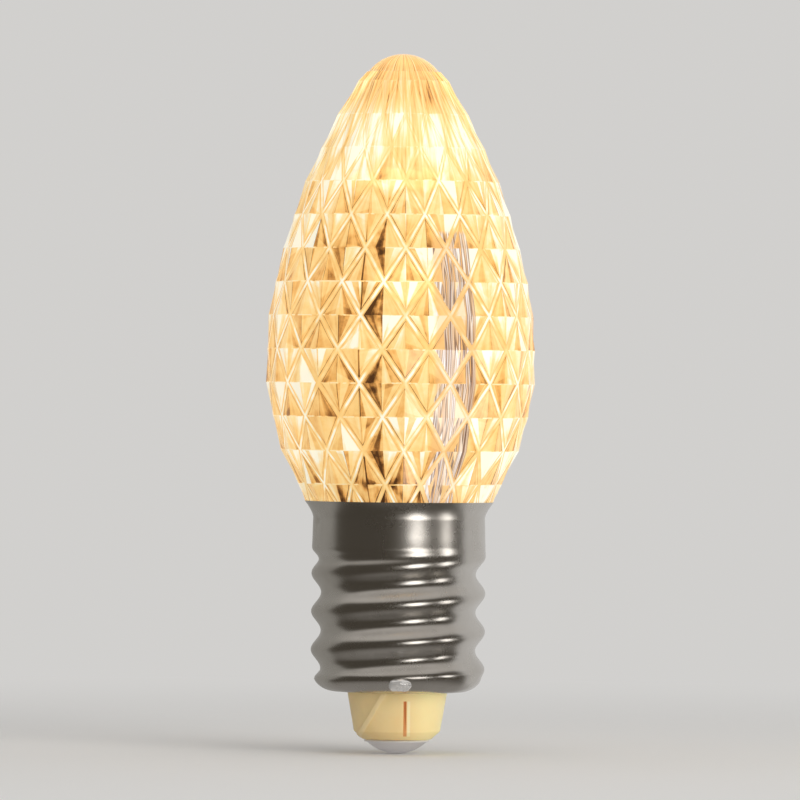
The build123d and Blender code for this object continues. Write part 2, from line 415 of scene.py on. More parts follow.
nickelLook = {
    "color": (0.60, 0.575, 0.535, 1),
    "smudge": (0.46, 0.43, 0.385, 1),
    "smudgeScale": 320.0,
    "smudgeAmount": 0.45,
    "roughness": 0.27,
    "spread": 0.07,
    "scratches": 0.0,
    "metallic": 1.0,
    "bump": 0.08,
}
contactLook = {
    "color": (0.92, 0.90, 0.91, 1),
    "smudge": (0.80, 0.78, 0.78, 1),
    "roughness": 0.45,
    "scratches": 0.6,
    "metallic": 0.55,
    "bump": 0.3,
    "bumpDepth": 0.03,
}
solderLook = {
    "color": (0.90, 0.89, 0.88, 1),
    "smudge": (0.70, 0.68, 0.66, 1),
    "smudgeScale": 900.0,
    "roughness": 0.26,
    "metallic": 0.6,
    "grainScale": 1600.0,
    "bump": 0.8,
    "bumpDepth": 0.12,
}
plasticLook = {
    "color": (0.94, 0.72, 0.36, 1),
    "smudge": (0.86, 0.58, 0.24, 1),
    "smudgeScale": 180.0,
    "smudgeAmount": 0.5,
    "roughness": 0.42,
    "scratches": 0.15,
    "bump": 0.15,
    "subsurface": 0.25,
    "subsurfaceDepth": 0.6,
    "frontDepth": 0.5,
    # painted highlight on the rib
    "ribHighlightColor": (1.0, 0.78, 0.43, 1),
    "ribPlace": (-1.75, 2.55),
    "ribLean": 30.0,
    "ribHalfWidth": 0.2,
    # painted shade in the slit, painted light glowing in it, and a painted highlight along its right edge
    "slitShadeColor": (0.60, 0.28, 0.10, 1),
    "paintedSlitLight": (0.15, 0.055, 0.016, 1),
    "slitEdgeHighlightColor": (1.0, 0.84, 0.54, 1),
    "slitEdgeShare": 0.7,
    "slitPlace": 0.53,
    "slitLow": 1.23,
    "slitHigh": 3.58,
    "slitHalfWidth": 0.13,
    # painted side light that makes the right side brighter
    "glow": (0.13, 0.16, 0.085, 1),
    "paintedSideLightZone": (-0.2, 2.2),
}
leadLook = {
    "color": (0.72, 0.70, 0.66, 1),
    "smudge": (0.60, 0.50, 0.38, 1),
    "roughness": 0.3,
    "metallic": 1.0,
}
ceramicLook = {
    "color": (0.26, 0.15, 0.08, 1),
    "smudge": (0.19, 0.10, 0.05, 1),
    "roughness": 0.5,
    "scratches": 0.1,
}
packageLook = {
    "color": (0.035, 0.035, 0.038, 1),
    "smudge": (0.06, 0.06, 0.062, 1),
    "roughness": 0.5,
    "scratches": 0.1,
}
boardLook = {
    "mask": (0.86, 0.82, 0.72, 1),
    "copper": (0.78, 0.66, 0.45, 1),
    "traceWidth": 0.45,
    "traceGap": 1.3,
    "traceShare": 0.45,
    "jogScale": 600,
    "jog": 0.25,
    "speckScale": 700,
    "speckShare": 0.25,
    "roughness": 0.38,
    "bump": 0.4,
    "bumpDepth": 0.03,
}


def makeBoardMaterial(look):
    # white solder mask with raised traces that run up the board
    material, tree, shader = newMaterial("whiteBoard")
    place = objectPlace(tree)
    x, _, z = separate(place)
    jog = calc("SINE", z * look["jogScale"]) * look["jog"]
    cell = calc("PINGPONG", x / (look["traceGap"] * mm) + jog, 0.5)
    width = look["traceWidth"] / look["traceGap"] / 2
    trace = spread(cell, width, width + 0.05, 1.0, 0.0)
    speck = cloud(place, look["speckScale"], 3)
    color = blendColor(speck * look["speckShare"], look["mask"], look["copper"])
    color = blendColor(trace * look["traceShare"], color, look["copper"])
    plugAll(shader, {"Base Color": color, "Roughness": look["roughness"]})
    bumpInto(shader, trace, look["bump"], look["bumpDepth"])
    return material


def makeNoseMaterial(look):
    # painted highlights and shade: the rib is painted paler as a highlight, and the slit is painted orange
    # as shade, with a painted highlight along its right edge
    material = wornMaterial("creamPlastic", look)
    tree = material.node_tree
    shader = nodeOf(tree, "BSDF_PRINCIPLED")
    color = Wire(tree, shader.inputs["Base Color"].links[0].from_socket)
    x, y, z = separate(objectPlace(tree))
    front = spread(y, 0.0, -look["frontDepth"] * mm)
    lean = math.radians(look["ribLean"])
    ribX, ribZ = look["ribPlace"]
    off = (x - ribX * mm) * math.cos(lean) - (z - ribZ * mm) * math.sin(lean)
    half = look["ribHalfWidth"] * mm
    # painted highlight on the front of the rib
    ribHighlight = spread(abs(off), half, half * 0.6, smooth=True)
    color = blendColor(ribHighlight * front, color, look["ribHighlightColor"])
    side = x - look["slitPlace"] * mm
    half = look["slitHalfWidth"] * mm
    low, high = look["slitLow"] * mm, look["slitHigh"] * mm
    within = calc("COMPARE", z, (low + high) / 2, (high - low) / 2) * front
    slit = spread(abs(side), half, half * 0.7, smooth=True) * within
    # painted highlight along the slit's right edge, then painted shade in the slit
    slitEdgeHighlight = spread(abs(side - half * 1.9), half * 0.9, half * 0.5, smooth=True)
    color = blendColor(slitEdgeHighlight * (within * look["slitEdgeShare"]), color, look["slitEdgeHighlightColor"])
    color = blendColor(slit, color, look["slitShadeColor"])
    # painted light: the right side is painted brighter as side light, and the slit is painted to glow a
    # little
    paintedSideLight = zoneMask(x, look["paintedSideLightZone"])
    lit = blendColor(slit, blendColor(paintedSideLight, noLight, look["glow"]), look["paintedSlitLight"])
    plugAll(shader, {"Base Color": color, "Emission Color": lit, "Emission Strength": 1.0})
    return material


nickel = wornMaterial("satinNickel", nickelLook)
contactMetal = wornMaterial("contactMetal", contactLook)
solder = wornMaterial("brightSolder", solderLook)
creamPlastic = makeNoseMaterial(plasticLook)
tinnedWire = wornMaterial("tinnedWire", leadLook)
brownCeramic = wornMaterial("brownCeramic", ceramicLook)
blackPackage = wornMaterial("blackPackage", packageLook)
whiteBoard = makeBoardMaterial(boardLook)
print("materials made")

# Faceted lens: one flat-sided pyramid with half a valley round it is repeated over the outline,
# each row half a step round from the last.
lensSizes = {
    "facetsRound": 18,
    "rows": 16,
    "cutRow": 12,
    "rowStep": 2.2333,
    "rowLow": 17.97,
    "rowRadius": (5.75, 6.7, 7.77, 8.43, 8.8, 8.84, 8.67, 8.33, 7.73, 7.12, 6.31, 5.33, 4.2, 2.9, 1.1, 0.2),
    "facetRise": 0.16,
    "valleyShare": 0.14,
    "lensTurn": 2.0,
    "lipHeight": 16.8,
    "facetCut": 0.63,
    "capBallRadius": 2.91,
    "capHeight": 1.2,
    "wall": 1.3,
    "tipWall": 0.9,
    "tipRadius": 0.7,
    "spigotRadius": 5.37,
    "spigotBore": 4.4,
    "spigotLow": 13.6,
    "roundSteps": 144,
    # painted shade of the board: the column and rows where it shows through
    "smokyColumn": 17,
    "smokyRows": 10,
    "seed": 7,
    "outlineScale": 10.0,  # the top of the outline's curve
}
facetTop = lensSizes["rowLow"] + lensSizes["cutRow"] * lensSizes["rowStep"] + lensSizes["facetCut"]


def outlineRadius(place):
    rows = lensSizes["rowRadius"]
    row = min(max(int(place), 0), len(rows) - 2)
    share = place - row
    return rows[row] * (1 - share) + rows[row + 1] * share


def makeFacetTile(edge):
    # local x is the turn in half steps, y the row, and z the share of the rise
    corners = [(1, 0), (0, 1), (-1, 0), (0, -1)]
    points = [(0, 0, 1)] + [(x * edge, y * edge, 0) for x, y in corners] + [(x, y, 0) for x, y in corners]
    sides = [(side, (side + 1) % 4) for side in range(4)]
    faces = [(0, 1 + side, 1 + after) for side, after in sides]
    faces += [(1 + side, 5 + side, 5 + after, 1 + after) for side, after in sides]
    mesh = bpy.data.meshes.new("facetTile")
    mesh.from_pydata(points, [], faces)
    # where each corner lies on the tile, with 1 as third value, which is 0 off the facets
    places = mesh.attributes.new("facetPlace", "FLOAT_VECTOR", "CORNER")
    for loop in mesh.loops:
        x, y, _ = points[loop.vertex_index]
        places.data[loop.index].vector = (x, y, 1)
    return mesh


def storeOnFaces(geometry, label, value):
    inputs = {"Geometry": geometry, "Name": label, "Value": value}
    kinds = {"data_type": "FLOAT", "domain": "FACE"}
    return add(geometry.tree, "GeometryNodeStoreNamedAttribute", inputs, **kinds)


def makeFacetTree(values):
    tree, given, put = makeGeometryTree("facetNet", values)
    around = given["Facets Round"]
    index = add(tree, "GeometryNodeInputIndex")
    row = calc("FLOOR", index / around)
    place = combine(index % around * 2 + (row + 1) % 2, row)
    points = {"Count": around * given["Rows"], "Position": place}
    tiles = {"Points": add(tree, "GeometryNodePoints", points), "Instance": given["Geometry"]}
    flat = add(tree, "GeometryNodeInstanceOnPoints", tiles)
    flat = add(tree, "GeometryNodeRealizeInstances", {"Geometry": flat})

    # marks on each face: its own tone, its tile's tone, and whether it is in a valley or in the board's
    # painted shade
    faceInTile = index % 8
    tile = calc("FLOOR", index / 8)
    for extra, (label, identity) in enumerate((("facetTone", index), ("tileTone", tile))):
        draw = {"ID": identity, "Seed": given["Seed"] + extra}
        tone = add(tree, "FunctionNodeRandomValue", draw, 1, data_type="FLOAT")
        flat = storeOnFaces(flat, label, tone)
    flat = storeOnFaces(flat, "valley", calc("GREATER_THAN", faceInTile, 3.5))
    # the board's painted shade is on the left halves of the tiles in one column and in the one across from
    # it
    leftHalf = calc("COMPARE", faceInTile % 4, 1.5, 0.6)
    away = abs(tile % around - given["Smoky Column"])
    inColumn = calc("LESS_THAN", away % 9, 0.5)
    tileRow = calc("FLOOR", tile / around)
    inRows = calc("COMPARE", tileRow, given["Smoky Rows"] / 2, 3.5)
    flat = storeOnFaces(flat, "smoky", leftHalf * inColumn * (1 - tileRow % 2) * inRows)

    # the flat net is wrapped round the outline
    x, y, z = separate(add(tree, "GeometryNodeInputPosition"))
    rowRadius, outlineScale = lensSizes["rowRadius"], lensSizes["outlineScale"]
    last = len(rowRadius) - 1
    outline = addNode(tree, "ShaderNodeFloatCurve", {"Value": y / last})
    curve = outline.mapping.curves[0]
    curve.points[0].location = (0, rowRadius[0] / outlineScale)
    curve.points[1].location = (1, rowRadius[last] / outlineScale)
    for number in range(1, last):
        curve.points.new(number / last, rowRadius[number] / outlineScale)
    outline.mapping.update()
    radius = Wire(tree, outline.outputs[0]) * (outlineScale * mm) + z * given["Facet Rise"]
    angle = x * (math.pi / around) + given["Lens Turn"]
    height = given["Row Low"] + (y - 1) * given["Row Step"]
    wrapped = combine(radius * calc("SINE", angle), radius * -calc("COSINE", angle), height)
    net = add(tree, "GeometryNodeSetPosition", {"Geometry": flat, "Position": wrapped})
    net = add(tree, "GeometryNodeMergeByDistance", {"Geometry": net, "Distance": 2 * tiny})
    endGeometryTree(net, given["Material"], put)
    return tree


def cavityProfile(sizes):
    # from the spigot's outer edge under the lip, round its foot and up the inside to the tip
    points = [(sizes["spigotRadius"], sizes["lipHeight"])]
    points += linePoints(points[-1], (sizes["spigotRadius"], sizes["spigotLow"]), 3)
    points += linePoints(points[-1], (sizes["spigotBore"], sizes["spigotLow"]), 1)
    points += linePoints(points[-1], (sizes["spigotBore"], sizes["lipHeight"]), 3)
    tipHeight = facetTop + sizes["capHeight"] - sizes["tipWall"]
    for step in range(21):
        place = 2 + step / 2
        height = sizes["rowLow"] + (place - 1) * sizes["rowStep"]
        points.append((outlineRadius(place) - sizes["wall"], height))
    points += linePoints(points[-1], (sizes["tipRadius"], tipHeight), 6)
    points.append((0, tipHeight))
    return points


def capProfile(sizes):
    tip = facetTop + sizes["capHeight"]
    centre = (0, tip - sizes["capBallRadius"])
    start = math.degrees(math.asin((facetTop - centre[1]) / sizes["capBallRadius"]))
    points = arcPoints(centre, sizes["capBallRadius"], start, 90, 12)
    points[-1] = (0, tip)
    return points


def makeLens(sizes, material):
    lens = addPiece("facetedLens", makeFacetTile(1 - sizes["valleyShare"]))
    values = inputValues(sizes, ("facetsRound", "rows", "smokyColumn", "smokyRows", "seed"), 1)
    values.update(inputValues(sizes, ("rowStep", "rowLow", "facetRise")))
    values.update({"Lens Turn": math.radians(sizes["lensTurn"]), "Material": material})
    runTree(lens, makeFacetTree, values)
    builder = bmesh.new()
    builder.from_mesh(lens.data)
    for height, clearAbove in ((sizes["lipHeight"], False), (facetTop, True)):
        bmesh.ops.bisect_plane(
            builder,
            geom=builder.verts[:] + builder.edges[:] + builder.faces[:],
            plane_co=(0, 0, height * mm),
            plane_no=(0, 0, 1),
            dist=tiny,
            clear_outer=clearAbove,
            clear_inner=not clearAbove,
        )
    for height, profile in ((sizes["lipHeight"], cavityProfile(sizes)), (facetTop, capProfile(sizes))):
        cut = [edge for edge in builder.edges if edge.is_boundary]
        cut = [edge for edge in cut if abs(edge.verts[0].co.z - height * mm) < 10 * tiny]
        first = addRings(builder, profile, sizes["roundSteps"])[0]
        ring = [builder.edges.get((first[i - 1], first[i])) for i in range(len(first))]
        bmesh.ops.bridge_loops(builder, edges=cut + ring)
    bmesh.ops.recalc_face_normals(builder, faces=builder.faces)
    holes = sum(1 for edge in builder.edges if not edge.is_manifold)
    builder.to_mesh(lens.data)
    builder.free()
    print("lens:", len(lens.data.polygons), "faces,", holes, "open edges")
    return lens


# painted light: the lens's pattern paints the lamps' light as the facets pass and bend it
# The lens's pattern is a level that the tones turn into a colour. A swing moves it up and down,
# a turn is (turn, half width, softness), and a zone is two heights. A range says where a mask
# runs from 0 to 1, or between two other values.
lensLook = {
    "roughness": 0.04,
    "transmission": 0.5,
    "refraction": 1.585,
    "glow": 0.45,
    # painted light: the clear lens is tinted warm, and whiter where brightest, as the lamps' light makes it
    # look
    "paintedLightTint": (0.92, 0.79, 0.54, 1),
    "whiteTint": (0.98, 1.0, 0.95, 1),
    "insideColor": (0.97, 0.90, 0.78, 1),
    "tones": (
        (0.0, (0.055, 0.026, 0.012)),
        (0.16, (0.32, 0.155, 0.05)),
        (0.32, (0.82, 0.47, 0.16)),
        (0.5, (0.96, 0.70, 0.31)),
        (0.72, (1.0, 0.84, 0.47)),
        (1.0, (0.97, 1.0, 0.90)),
    ),
    "facetTone": 0.41,
    "facetSwing": 0.20,
    "tileSwing": 0.12,
    "facetSwings": (0.40, 0.20, 0.60),  # of the shards, the side shards and the streaks
    "speckSwing": 0.4,
    "darkestFacet": 0.22,
    "waver": 0.05,
    "waverScale": 900,
    "streakScale": 2.2,
    "speckScale": 1700,
    "shardCount": 2.3,
    "sideShardCount": 1.7,
    "underLift": 0.6,
    "overDrop": 0.07,
    "whiteLift": 1.3,
    "borderInset": 0.02,
    "ridgeLift": 0.4,
    "ridgeDrop": 0.28,
    "middleTone": 0.82,
    "valleyTone": 0.31,
    "valleySwing": 0.3,
    "glintScale": 520,
    "needleSwing": 2.1,
    "uprightClouds": {  # offset, share of the height, scale and detail
        "needles": (0, 0.1, 2600, 3),
        "patches": (5, 0.4, 420, 1),
        "blocks": (3, 0.5, 850, 2),
        "lines": (9, 0.045, 2700, 1.5),
    },
    # painted shade where the board's dark edge shows through
    "boardShadeTone": 0.08,
    "boardShadeSwings": (0.5, 0.7, 0.8),  # of the shards, the streaks and the specks
    # painted sheen: the silvery band
    "bandTurn": (24.5, 10.5, 0.04),
    "bandEnd": (33.5, 35.5),
    "bandShare": 0.55,
    "bandGround": (0.84, 0.56, 0.30, 1),
    "bandTones": (
        (0.0, (0.85, 0.56, 0.28)),
        (0.36, (0.78, 0.50, 0.26)),
        (0.39, (0.13, 0.09, 0.09)),
        (0.43, (0.45, 0.34, 0.30)),
        (0.48, (0.85, 0.85, 0.92)),
        (0.50, (0.95, 0.92, 0.90)),
        (0.52, (0.20, 0.145, 0.14)),
        (0.56, (0.62, 0.44, 0.30)),
        (0.61, (0.85, 0.74, 0.66)),
        (0.64, (0.16, 0.12, 0.12)),
        (0.68, (0.80, 0.54, 0.30)),
    ),
    "turnRadius": 9.0,
    "uprightShare": 0.72,
    "capTone": 0.43,
    "capDrop": 0.9,
    "ridgeTurn": (-18.0, 0.6, 0.006),
    "ridgeShade": 0.6,
    "footTurn": (-8.0, 34.0, 0.12),
    "footZone": (18.9, 17.9),
    "footShade": 0.42,
    "brightZone": (36.5, 41.0),
    "capZone": (41.5, 44.0),
    "tipBlend": 0.02,
}
lensRanges = {
    "below": (0.0, -0.01),
    "above": (0.0, 0.01),
    "underMiddle": (0.6, 0.02),
    "overMiddle": (0.4, 0.02),
    "litTiles": (0.25, 0.5),
    "whiteFacets": (0.85, 0.88, 0.0, 0.6),
    "border": (0.03, 0.0),
    "borderStreaks": (0.3, 0.65, 0.05, 0.5),
    "ridge": (0.025, 0.01),
    "middle": (0.03, 0.015),
    "middleSpecks": (0.35, 0.5),
    "patches": (0.38, 0.62, 0.08, 0.62),
    "blocks": (0.40, 0.60),
    "glints": (0.38, 0.62, 0.06, 0.66),
    "bandMiddles": (0.34, 0.26),
    "bandWedges": (0.6, 0.64),
    "bandValleys": (0.0, 1.0, 1.0, 0.3),
    "bandSheen": (0.3, 0.5),
    "whiteTint": (0.75, 1.0),
}


def inRange(value, name):
    return spread(value, *lensRanges[name])


def turnMask(x, y, turn, halfWidth, softness):
    # 1 near a turn from the front, and near the turn across from it, with a soft edge
    angle = math.radians(turn - 90)
    outward = vectorCalc("NORMALIZE", combine(x, y))
    across = vectorCalc("CROSS_PRODUCT", outward, (math.cos(angle), math.sin(angle), 0))
    edge = math.sin(math.radians(halfWidth))
    return spread(vectorCalc("LENGTH", across), edge, edge - softness, smooth=True)


def shardTone(fan, seed, count):
    # one random value for each wedge of the fan, with a narrow blend between wedges
    place = fan * count + calc("FRACT", seed)
    cell = calc("FLOOR", place)
    tones = []
    for step in (0, 1):
        spot = {"Vector": combine(cell + step, seed, 0)}
        tones.append(add(fan.tree, "ShaderNodeTexWhiteNoise", spot, "Value", noise_dimensions="3D"))
    return blendFloat(spread(calc("FRACT", place), 0.85, 1.0, smooth=True), *tones)


def makeLensMaterial(look):
    # painted light: each facet has painted streaks that run to its corners, a painted highlight along its
    # middle and painted shade at its edge
    material, tree, shader = newMaterial("clearLens")
    place = objectPlace(tree)
    x, y, z = separate(place)
    facetTone, tileTone = attribute(tree, "facetTone"), attribute(tree, "tileTone")
    valley, smoky = attribute(tree, "valley"), attribute(tree, "smoky")
    onFacet = attribute(tree, "facetPlace", "Vector")
    # the lines waver a little, as moulded ones do
    waver = cloud(place, look["waverScale"], output="Color")
    waver = scaled(vectorCalc("SUBTRACT", waver, (0.5, 0.5, 0.5)), look["waver"])
    u, v, _ = separate(vectorCalc("ADD", onFacet, waver))
    facetMask = separate(onFacet)[2]
    edge = 1 - lensSizes["valleyShare"]
    aside, along = abs(u), abs(v)
    fan = aside / calc("MAXIMUM", edge - along, 0.02)
    sideFan = along / calc("MAXIMUM", edge - aside, 0.02)
    seed = facetTone * 61
    streak = cloud(combine(fan, seed, 0), look["streakScale"])
    speck = cloud(place, look["speckScale"], 3)
    # shards are what each facet shows of the far side: wedges that meet at its corners
    shards = shardTone(fan, seed, look["shardCount"])
    sideShards = shardTone(sideFan, seed + 7, look["sideShardCount"])

    level = facetTone * look["facetSwing"] + look["facetTone"]
    level += tileTone * look["tileSwing"]
    for mark, swing in zip((shards, sideShards, streak), look["facetSwings"]):
        level += (mark - 0.5) * swing
    level = calc("MAXIMUM", level, look["darkestFacet"])
    level += (speck - 0.5) * look["speckSwing"]
    # painted highlights and shade: a bright wedge under the middle of some tiles, darker upper halves, and
    # facets that flash white
    under = inRange(v, "below") * inRange(along, "underMiddle") * inRange(tileTone, "litTiles")
    over = inRange(v, "above") * inRange(along, "overMiddle")
    level += under * shards * look["underLift"]
    level -= over * look["overDrop"]
    level += inRange(facetTone, "whiteFacets") * (streak * look["whiteLift"])
    # painted shade along each facet's edge, a painted highlight and shade on its upright ridge, and a
    # painted highlight along its middle
    reach = aside + along
    border = inRange(abs(reach - (edge - look["borderInset"])), "border")
    level -= border * inRange(streak, "borderStreaks")
    level += inRange(aside, "ridge") * (shards * look["ridgeLift"] - look["ridgeDrop"])
    middle = inRange(along, "middle") * inRange(speck, "middleSpecks")
    level = calc("MAXIMUM", level, middle * look["middleTone"])

    # large zones: brightest under the tip with long upright streaks, calmer again in the cap
    bright = zoneMask(z, look["brightZone"])
    lift = bright - zoneMask(z, look["capZone"]) * look["capDrop"]
    turned = calc("ARCTAN2", x, -y) * (look["turnRadius"] * mm)
    upright = {}
    for label, (offset, stretch, scale, detail) in look["uprightClouds"].items():
        upright[label] = cloud(combine(turned, offset, z * stretch), scale, detail)
    lift *= inRange(upright["patches"], "patches")
    level += lift
    capLevel = (upright["needles"] - 0.5) * look["needleSwing"] + look["capTone"] + lift

    # painted shade: darker halves and a thin dark ridge, where the board's edge shows through
    byShards, byStreaks, bySpecks = look["boardShadeSwings"]
    boardShadeLevel = (shards - 0.35) * byShards + look["boardShadeTone"]
    boardShadeLevel += (streak - 0.5) * byStreaks
    boardShadeLevel += (speck - 0.5) * bySpecks
    level = blendFloat(smoky, level, boardShadeLevel)
    lower = 1 - zoneMask(z, look["bandEnd"])
    ridge = turnMask(x, y, *look["ridgeTurn"]) * lower
    level -= ridge * (speck * look["ridgeShade"])
    # painted shade: the parts on the board show through the lowest facets as darker brown and orange
    # patches
    foot = zoneMask(z, look["footZone"]) * turnMask(x, y, *look["footTurn"])
    level -= foot * inRange(upright["blocks"], "blocks") * look["footShade"]
    # the valleys are painted light, with painted glints along them
    glint = inRange(cloud(place, look["glintScale"]), "glints")
    valleyLevel = spread(reach, edge + 0.05, edge + 0.09) * glint + look["valleyTone"]
    level = blendFloat(valley, level, valleyLevel + speck * look["valleySwing"])
    level = blendFloat(bright * look["uprightShare"], level, capLevel)
    level = calc("ADD", level, 0, use_clamp=True)
    color = ramp(level, look["tones"])

    # painted sheen: a silvery band of bright and dark upright lines down the middle of each tile, and on
    # some of its wedges
    band = turnMask(x, y, *look["bandTurn"]) * lower
    color = blendColor(band * look["bandShare"], color, look["bandGround"])
    bandSheen = calc("MAXIMUM", inRange(aside, "bandMiddles"), inRange(shards, "bandWedges"))
    bandSheen *= band * inRange(valley, "bandValleys")
    lines = ramp(upright["lines"], look["bandTones"])
    color = blendColor(inRange(bandSheen, "bandSheen"), color, lines)
    # the tip's smooth cap has no facets
    tip = spread(z, (facetTop - look["tipBlend"]) * mm, facetTop * mm)
    color = blendColor(tip, color, ramp(capLevel, look["tones"]))
    facetMask = calc("MAXIMUM", facetMask, tip)
    color = blendColor(facetMask, look["insideColor"], color)
    # painted light: the base colour carries the same pattern, tinted warm and whiter where it is brightest,
    # and the lens emits the pattern as the glow of the lamps inside
    paintedLightTint = blendColor(inRange(level, "whiteTint"), look["paintedLightTint"], look["whiteTint"])
    finish = {
        "Base Color": blendColor(1.0, color, paintedLightTint, "MULTIPLY"),
        "Emission Color": blendColor(facetMask, noLight, color),
        "Emission Strength": look["glow"],
        "Roughness": look["roughness"],
        "IOR": look["refraction"],
        "Transmission Weight": look["transmission"],
    }
    plugAll(shader, finish)
    return material


clearLens = makeLensMaterial(lensLook)
standFor(makeLens(lensSizes, clearLens), "lens", clearLens)

# Screw shell: the drawn cup is turned first, and the thread is then rolled into its wall.
shellSizes = {
    "sheet": 0.3,
    "bottom": 4.13,
    "mouthRadius": 3.45,
    "cornerRadius": 1.6,
    "crestRadius": 5.8,
    "threadDepth": 0.65,
    "threadPitch": 2.54,
    "threadLow": 4.75,
    "threadHigh": 13.77,
    "threadRoot": 6.89,
    "threadFade": 0.86,
    "threadEndFade": 1.1,
    "skirtRadius": 5.72,
    "blendLow": 12.7,
    "blendShare": 0.6,
    "barrel": 0.035,
    "skirtHigh": 15.7,
    "lipRadius": 6.3,
    "lipHeight": 16.8,
    "dimpleRadius": 0.42,
    "dimpleDepth": 0.15,
    "dimpleHeight": 15.5,
    "dimpleTurn": -70.0,
    "roundSteps": 256,
    "creaseAngle": 40,
}


def wallLine(sizes, depth):
    # the outer side at depth 0, the inner side at the depth of the sheet, from the mouth up
    crest, bottom, corner = sizes["crestRadius"], sizes["bottom"], sizes["cornerRadius"]
    centre = (crest - corner, bottom + corner)
    points = [(sizes["mouthRadius"], bottom + depth)]
    points += linePoints(points[-1], (centre[0], bottom + depth), 4)
    points += arcPoints(centre, corner - depth, -90, 0, 12)[1:]
    points += linePoints(points[-1], (crest - depth, sizes["blendLow"]), 66)
    rise = sizes["skirtHigh"] - sizes["blendLow"]
    for step in range(1, 31):
        share = step / 30
        ease = (1 - math.cos(math.pi * min(share / sizes["blendShare"], 1))) / 2
        barrel = sizes["barrel"] * math.sin(math.pi * share)
        radius = crest + (sizes["skirtRadius"] - crest) * ease + barrel
        points.append((radius - depth, sizes["blendLow"] + rise * share))
    flareLow = points[-1]
    rise = sizes["lipHeight"] - flareLow[1]
    for step in range(1, 13):
        share = step / 12
        reach = (sizes["lipRadius"] - sizes["skirtRadius"]) * share**1.5
        points.append((flareLow[0] + reach, flareLow[1] + rise * share))
    return points


def makeThreadTree(values):
    tree, given, put = makeGeometryTree("rolledThread", values)
    here = add(tree, "GeometryNodeInputPosition")
    x, y, z = separate(here)
    above = (z - given["Thread Low"]) / given["Thread Fade"]
    below = (given["Thread High"] - z) / given["Thread End Fade"]
    share = calc("MAXIMUM", calc("MINIMUM", calc("MINIMUM", above, below), 1), 0)
    ease = (1 - calc("COSINE", share * math.pi)) * 0.25
    turn = (z - given["Thread Root"]) / given["Thread Pitch"] * (2 * math.pi)
    outward = vectorCalc("NORMALIZE", combine(x, y))
    aside = combine(calc("COSINE", turn), calc("SINE", turn))
    moved = scaled(vectorCalc("ADD", outward, aside), -(given["Thread Depth"] * ease))
    # the small round dimple near the lip
    away = vectorCalc("DISTANCE", here, given["Dimple Centre"])
    near = calc("MAXIMUM", 1 - away / given["Dimple Radius"], 0)
    dent = calc("SMOOTH_MIN", near, 1, 0.3) * given["Dimple Depth"]
    offset = vectorCalc("ADD", moved, scaled(outward, -dent))
    rolled = {"Geometry": given["Geometry"], "Offset": offset}
    endGeometryTree(add(tree, "GeometryNodeSetPosition", rolled), given["Material"], put)
    return tree


def makeShell(sizes, material):
    outline = wallLine(sizes, 0) + list(reversed(wallLine(sizes, sizes["sheet"])))
    shell = addPiece("screwShell", lathe("screwShell", outline, sizes["roundSteps"]))
    angle = math.radians(sizes["dimpleTurn"] - 90)
    centre = Vector((math.cos(angle), math.sin(angle), 0)) * sizes["skirtRadius"]
    centre.z = sizes["dimpleHeight"]
    thread = [name for name in sizes if name.startswith("thread")]
    values = inputValues(sizes, thread + ["dimpleRadius", "dimpleDepth"])
    values.update({"Dimple Centre": tuple(centre * mm), "Material": material})
    runTree(shell, makeThreadTree, values)
    smoothByAngle(shell.data, sizes["creaseAngle"])
    print("shell:", len(shell.data.polygons), "faces")
    return shell


standFor(makeShell(shellSizes, nickel), "screw_shell", nickel)

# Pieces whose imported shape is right: a merged copy gets fine edges and smooth shading.
copyLook = {"flatAngle": 0.5, "creaseAngle": 28, "edgeSegments": 2}


def finishedCopy(node, name, edge):
    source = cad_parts[node]
    builder = bmesh.new()
    builder.from_mesh(source.data)
    bmesh.ops.remove_doubles(builder, verts=builder.verts, dist=tiny)
    flat = math.radians(copyLook["flatAngle"])
    bmesh.ops.dissolve_limit(builder, angle_limit=flat, verts=builder.verts, edges=builder.edges)
    mesh = bpy.data.meshes.new(name)
    builder.to_mesh(mesh)
    builder.free()
    piece = addPiece(name, mesh)
    if edge:
        bevel = piece.modifiers.new("edges", "BEVEL")
        bevel.width = edge * mm
        bevel.segments = copyLook["edgeSegments"]
        bevel.limit_method = "ANGLE"
        bevel.angle_limit = math.radians(copyLook["creaseAngle"])
        plainPiece(piece)
    smoothByAngle(piece.data, copyLook["creaseAngle"])
    return piece


standFor(finishedCopy("base_core", "noseAndCore", 0.06), "base_core", creamPlastic)

# Centre contact: a spun dome with a rolled rim and its stem.
contactSizes = {
    "ballRadius": 2.9,
    "radius": 2.17,
    "rimRadius": 0.12,
    "stemRadius": 0.7,
    "stemTop": 4.9,
    "roundSteps": 96,
    "creaseAngle": 35,
}


def makeContact(sizes):
    ball, radius, rim = sizes["ballRadius"], sizes["radius"], sizes["rimRadius"]
    height = ball - math.sqrt(ball**2 - radius**2)
    edge = math.degrees(math.asin((radius - rim) / ball))
    points = arcPoints((0, ball), ball, -90, -90 + edge, 16)
    points[0] = (0, 0)
    points += arcPoints((radius - rim, height - rim), rim, -30, 90, 5)
    stem, top = sizes["stemRadius"], sizes["stemTop"]
    points += [(stem, height), (stem, top), (0, top)]
    mesh = lathe("centreContact", points, sizes["roundSteps"])
    smoothByAngle(mesh, sizes["creaseAngle"])
    return addPiece("centreContact", mesh)


standFor(makeContact(contactSizes), "centre_contact", contactMetal)

# Solder joint: the bead is remeshed, softened and made uneven.
jointSizes = {"voxel": 0.05, "softening": 6, "unevenness": 0.09, "unevenScale": 2.1}


